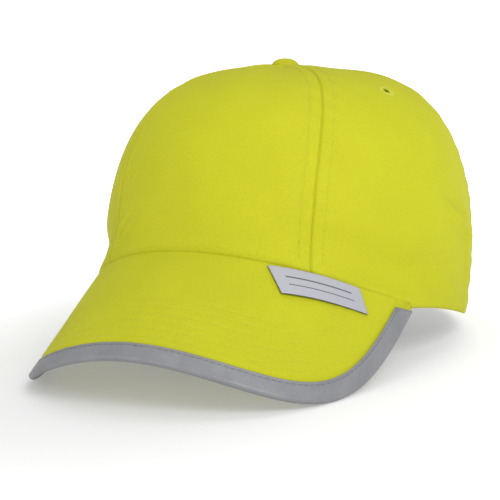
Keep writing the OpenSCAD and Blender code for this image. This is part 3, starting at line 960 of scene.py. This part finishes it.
def arch_row(grow):
    angle = np.linspace(0.06, pi - 0.06, 240)
    th = 180 - np.degrees((arch_half_w + grow) * np.cos(angle) / rear_rim_y)
    t = t_at(th, 0.6 + (arch_h + grow) * np.sin(angle))
    return stitch_row(crown(th, t, cloth_lift(th, t)), crown_normal(th, t))


sew("rear_arch_topstitching", [arch_row(1.8), arch_row(6.6)], "cap", hi_vis_thread)

# Sweatband: brushed cotton twill over thin foam, folded at its foot, sewn round the inside edge.
band_h, band_end = 32.0, 146.0
towelling = woven("brushed cotton twill, charcoal", "#45484c", "#303236", 0.9, 0.25, 0.9, 0.35,
                  lean=radians(45))


def band_spot(a, b):
    th = band_end * (1 - 2 * a)
    h = 0.5 + band_h * b
    lean = ease(h / 10)
    pillow = 0.35 * np.sin(pi * np.clip(b, 0, 1)) + 0.10 * ripple(th, 13.0, 0.9) * np.sin(pi * b)
    return crown(th, t_at(th, h), -3.15 - 0.75 * lean - pillow * 0.4 + waist(th, h))


sweatband = cloth_sheet("sweatband_twill", 240, 24, band_spot, 1.25, 0.4)
dress(sweatband, towelling, "cap", "sweatband")

dark_thread = mottled("charcoal polyester thread, spun", ("#55585d", "#777a80"), 2200.0, 2.0,
                      {"Roughness": 0.65})


def band_row(height, depth):
    th = np.linspace(-band_end + 2, band_end - 2, 500)
    t = t_at(th, height + 0 * th)
    return stitch_row(crown(th, t, depth + waist(th, height)), -crown_normal(th, t), 3.2)


sew("sweatband_stitches", [band_row(3.0, -3.42), band_row(29.5, -4.0)], "cap", dark_thread)

# Care label: a small blank white woven tab sewn to the sweatband.
label_cloth = woven("white polyester tape, woven", "#f3f3ef", "#dcdcd8", 0.6, 0.08, 0.6, 0.05)


def care_spot(a, b):
    th = 138.2 - 12.4 * a
    return crown(th, t_at(th, 6 + 18 * b), -4.30 - 0.1 * np.sin(pi * a))


inner_sheet("care_label_tab", "care_label", 16, 16, care_spot, 0.2, label_cloth)

# ------------------------------------------------------------
# Rear strap: two tongues of doubled cloth across the arch. The outer tab carries hooks on its
# inner face and hinges at its sewn end; the inner tongue carries the loop tape.
strap_w, hinge_th = 20.0, 205.0


def strap_spot(start, stop, inset, depth, rounded=0.0, pillow=0.0):
    """From start to stop in degrees; the near end is rounded, and the middle stands a little proud."""
    def spot(a, b):
        th = mix(start, stop, a)
        run = np.abs(th - start) * pi / 180 * rear_rim_y
        cut = rounded - np.sqrt(np.clip(rounded ** 2 - np.clip(rounded - run, 0, rounded) ** 2, 0, None))
        h = 0.8 + inset + cut + (strap_w - 2 * inset - 2 * cut) * b
        puff = pillow * np.sin(pi * np.clip(b, 0, 1)) ** 0.5 + 0.04 * np.sin(th * 1.3 + 9 * b)
        return crown(th, t_at(th, h), depth + puff)
    return spot


def strap_piece(name, node, body, columns, rows, spot, thick, cloth):
    made = dress(cloth_sheet(name, columns, rows, spot, thick, 0.25), cloth, body, node)


strap_piece("strap_outer_cloth", "strap_outer", "strap", 100, 24,
            strap_spot(160, hinge_th - 0.4, 0, 1.35, 6.0, 0.15), 1.0, hi_vis_cloth)
strap_piece("strap_sewn_end_cloth", "strap_sewn_end", "cap", 24, 24,
            strap_spot(hinge_th + 0.3, 214, 0, 1.35, 0.0, 0.1), 1.0, hi_vis_cloth)
strap_piece("strap_inner_cloth", "strap_inner", "cap", 90, 24, strap_spot(148, 200, 0, -2.5, 6.0), 0.85,
            hi_vis_cloth)

# Hook tape: rows of stiff nylon hooks on a woven ground. Loop tape: a brushed nylon pile.


def napped(name, colour, shade, tuft, depth):
    """Fuzzy or hooked tape; tuft is the spacing of its hooks or loops in millimetres."""
    made, tree = new_material(name)
    uv = thread_uv(tree)
    height = compute(tree, "ADD", spots(tree, uv, 1 / tuft, 0.6), noise(tree, uv, 3.0, 5.0))
    finish_material(tree, {"Roughness": 0.75, "Sheen Weight": 0.3},
                    {"Base Color": blended(tree, spanned(tree, height, 0.4, 1.3), colour, shade),
                     "Normal": bumped(tree, height, 1.0, depth / 1000)})
    return made


strap_piece("hook_tape", "hook_patch", "strap", 70, 20, strap_spot(163, 198, 1.5, 0.05), 0.6,
            napped("nylon hook tape, moulded hooks", "#6d7034", "#3f421c", 1.1, 0.35))
strap_piece("loop_patch_tape", "loop_patch", "cap", 70, 20, strap_spot(159, 199, 1.5, -1.15), 0.65,
            napped("nylon loop tape, brushed", "#a3a92c", "#7b801a", 1.6, 0.4))


def strap_rows(start, stop, inset, depth, rounded):
    """Along the lower edge, across the free end and back along the upper edge."""
    th = np.concatenate([np.linspace(stop, start + rounded, 120), np.full(40, start + 2.0),
                         np.linspace(start + rounded, stop, 120)])
    low, high = 0.8 + inset, strap_w + 0.8 - inset
    h = np.concatenate([np.full(120, low), np.linspace(low + 1, high - 1, 40), np.full(120, high)])
    t = t_at(th, h)
    return stitch_row(crown(th, t, depth + 0 * t), crown_normal(th, t), 2.8)


sew("strap_stitches", [strap_rows(160, hinge_th - 2, 2.2, 1.43, 3.5)], "strap", hi_vis_thread,
    width=0.38)
sew("strap_inner_stitches", [strap_rows(147.2, 158, 2.0, -2.45, 3.0)], "cap", hi_vis_thread,
    width=0.34)

# ------------------------------------------------------------
# Insert: a 2 mm ABS shell, injection moulded with a fine matt grain, with rounded vent slots. It
# lies inside the sweatband and slides out downwards.
shell_t, shell_h, shell_low_front, shell_low_rear, shell_n = 2.0, 112.0, 60.0, 47.0, 40


def shell_plan(th):
    return rim_r(th) - 5 - 7 * frontness(th)


def shell_at(th, z):
    w = z / shell_h
    rho = np.sqrt(np.maximum(1 - w ** 3, 0)) ** (2 / 3)
    r = shell_plan(th) * rho
    return np.stack([r * dsin(th), -r * dcos(th) + apex_y * (1 - rho), z + 0 * th], -1)


def shell_normal(th, z):
    n = unit(np.cross(shell_at(th + 0.5, z) - shell_at(th - 0.5, z),
                      shell_at(th, np.minimum(z + 0.2, shell_h)) - shell_at(th, z - 0.2)))
    return np.where((z > shell_h - 0.3)[..., None], [0.0, 0.0, 1.0], n)


def shell(th, z, d):
    th, z = np.broadcast_arrays(np.asarray(th, float), np.asarray(z, float))
    return shell_at(th, z) + np.asarray(d, float)[..., None] * shell_normal(th, z)


def shell_low(th):
    return mix(shell_low_rear, shell_low_front, frontness(th))


def rise(start, k):
    return shell_h * np.sin(mix(np.arcsin((start / shell_h) ** 1.5), radians(89.6), k)) ** (1 / 1.5)


def shell_spot(a, b):
    th = 360 * a
    z = rise(shell_low(th), b)
    lip = 0.5 * np.exp(-((z - shell_low(th)) / 1.6) ** 2)
    ribs = 0.35 * np.exp(-(((th + 9) % 36 - 18) / 1.6) ** 2) * ease((b - 0.1) / 0.1) * ease((0.9 - b) / 0.1)
    return shell(th, z, -0.3 * (1 - lip) + ribs)


abs_shell = cloth_sheet("insert_shell_abs", 320, 96, shell_spot, 0)
turn_outwards(abs_shell, merge=0.00001)


def open_cells(obj, rows, first, wide):
    """Cuts rows of rounded vent slots: rows are shares of the way up, wide is a share of a step."""
    bpy.ops.object.mode_set(mode="EDIT")
    bpy.ops.mesh.select_mode(type="FACE")
    bpy.ops.mesh.select_all(action="DESELECT")
    bpy.ops.object.mode_set(mode="OBJECT")
    centres = np.array([f.center for f in obj.data.polygons]) * 1000 - stance_shift
    y = centres[:, 1] * cos(stance_pitch) - centres[:, 2] * sin(stance_pitch)
    z = centres[:, 1] * sin(stance_pitch) + centres[:, 2] * cos(stance_pitch)
    rho = np.sqrt(np.maximum(1 - (z / shell_h) ** 3, 0)) ** (2 / 3)
    th = np.degrees(np.arctan2(centres[:, 0], -(y - apex_y * (1 - rho)))) % 360
    low = shell_low(th)
    rim_angle = np.degrees(np.arcsin((low / shell_h) ** 1.5))
    k = (np.degrees(np.arcsin(np.clip(z / shell_h, 0, 1) ** 1.5)) - rim_angle) / (89 - rim_angle)
    step = 360 / shell_n
    off = (th - (first + 0.5) * step + 2 * step) % (4 * step) - 2 * step
    chosen = np.zeros(len(centres), bool)
    for start, stop in rows:
        middle, half = 0.5 * (start + stop), 0.5 * (stop - start)
        chosen |= (np.abs(off / (wide * step)) ** 4 + np.abs((k - middle) / half) ** 4) < 1
    for face, pick in zip(obj.data.polygons, chosen):
        face.select = bool(pick)
    bpy.ops.object.mode_set(mode="EDIT")
    bpy.ops.mesh.delete(type="FACE")
    bpy.ops.object.mode_set(mode="OBJECT")


open_cells(abs_shell, [(2 / 12 + 0.012, 4 / 12 - 0.012), (6 / 12 + 0.012, 8 / 12 - 0.012)], 3, 0.42)
finish_modifier(abs_shell, "SOLIDIFY", thickness=shell_t * 0.8 / 1000, offset=-1.0)
finish_modifier(abs_shell, "BEVEL", width=0.0003, segments=2, limit_method="ANGLE", angle_limit=radians(60))
bpy.ops.object.shade_smooth()

moulded_abs = mottled("ABS, injection moulded, matt grain", ("#232528", "#33363a"), 25.0, 6.0, {"IOR": 1.53},
                      rough=(0.38, 0.55), grain=(noise, (1400.0, 3.0), 0.35, 0.00006))
abs_shell.data.materials.clear()
dress(abs_shell, moulded_abs, "insert", "insert_shell")

# Pads: closed cell EVA foam, die cut and glued inside the shell, with soft rounded edges.
foam = mottled("EVA foam, closed cell, die cut", ("#3a3d41", "#4b4e53"), 40.0, 3.0,
               {"Roughness": 0.9, "Specular IOR Level": 0.2, "Sheen Weight": 0.1},
               grain=(spots, (1100.0,), 0.7, 0.00015))
pad_t = 6.0


def pad_spot(start, stop, z_low, z_high):
    """The pad's inner face; its corners are rounded and its rim curves back to the shell."""
    def spot(a, b):
        x, y = 2 * a - 1, 2 * b - 1
        round_x = x * np.sqrt(1 - 0.16 * y ** 6)
        round_y = y * np.sqrt(1 - 0.16 * x ** 6)
        edge = np.maximum(np.abs(x), np.abs(y))
        crownd = 1.1 * ease((1 - edge) / 0.5) - 1.0
        th = mix(stop, start, 0.5 + 0.5 * round_x)
        z = mix(z_low, z_high, 0.5 + 0.5 * round_y)
        return shell(th, z, -shell_t - pad_t + 0.9 - crownd * 0.8)
    return spot


def foam_pad(name, node, spot, columns, rows):
    pad = dress(cloth_sheet(name, columns, rows, spot, pad_t - 1.6, 1.2), foam, "insert", node)


foam_pad("front_pad_foam", "front_pad", pad_spot(-40, 40, 64, 84), 60, 24)
foam_pad("rear_pad_foam", "rear_pad", pad_spot(142, 218, 52, 76), 60, 26)
foam_pad("side_pad_left_foam", "side_pad_left", pad_spot(58, 104, 56, 76), 40, 24)
foam_pad("side_pad_right_foam", "side_pad_right", pad_spot(-104, -58, 56, 76), 40, 24)


def crown_pad_spot(a, b):
    th = -360 * a
    z = np.minimum(rise(96.0, b), shell_h - 0.001)
    swell = 0.9 * (1 - ease(b / 0.12)) + 0.25 * np.cos(6 * np.radians(th)) * (1 - b)
    return shell(th, z, -shell_t - pad_t + swell)


crown_pad = cloth_sheet("crown_pad_foam", 120, 30, crown_pad_spot, 0)
turn_outwards(crown_pad, merge=0.0006)
bpy.ops.object.mode_set(mode="EDIT")
bpy.ops.mesh.select_all(action="SELECT")
bpy.ops.mesh.flip_normals()
bpy.ops.object.mode_set(mode="OBJECT")
finish_modifier(crown_pad, "SOLIDIFY", thickness=(pad_t - 0.9) / 1000, offset=-1.0)
finish_modifier(crown_pad, "BEVEL", width=0.0012, segments=3, limit_method="ANGLE", angle_limit=radians(50))
bpy.ops.object.shade_smooth()
crown_pad.data.materials.clear()
dress(crown_pad, foam, "insert", "crown_pad")

# Button stud and washer keep their turned shapes: moulded acetal and zinc plated steel.
refinish("button_stud", mottled("acetal, moulded", ("#d2d2ca", "#e2e2da"), 300.0, 2.0,
                                {"Roughness": 0.35, "IOR": 1.48}))
refinish("button_washer", mottled("steel, zinc plated", ("#a9abad", "#c8cacb"), 500.0, 4.0, {"Metallic": 1.0},
                                  rough=(0.28, 0.5)))
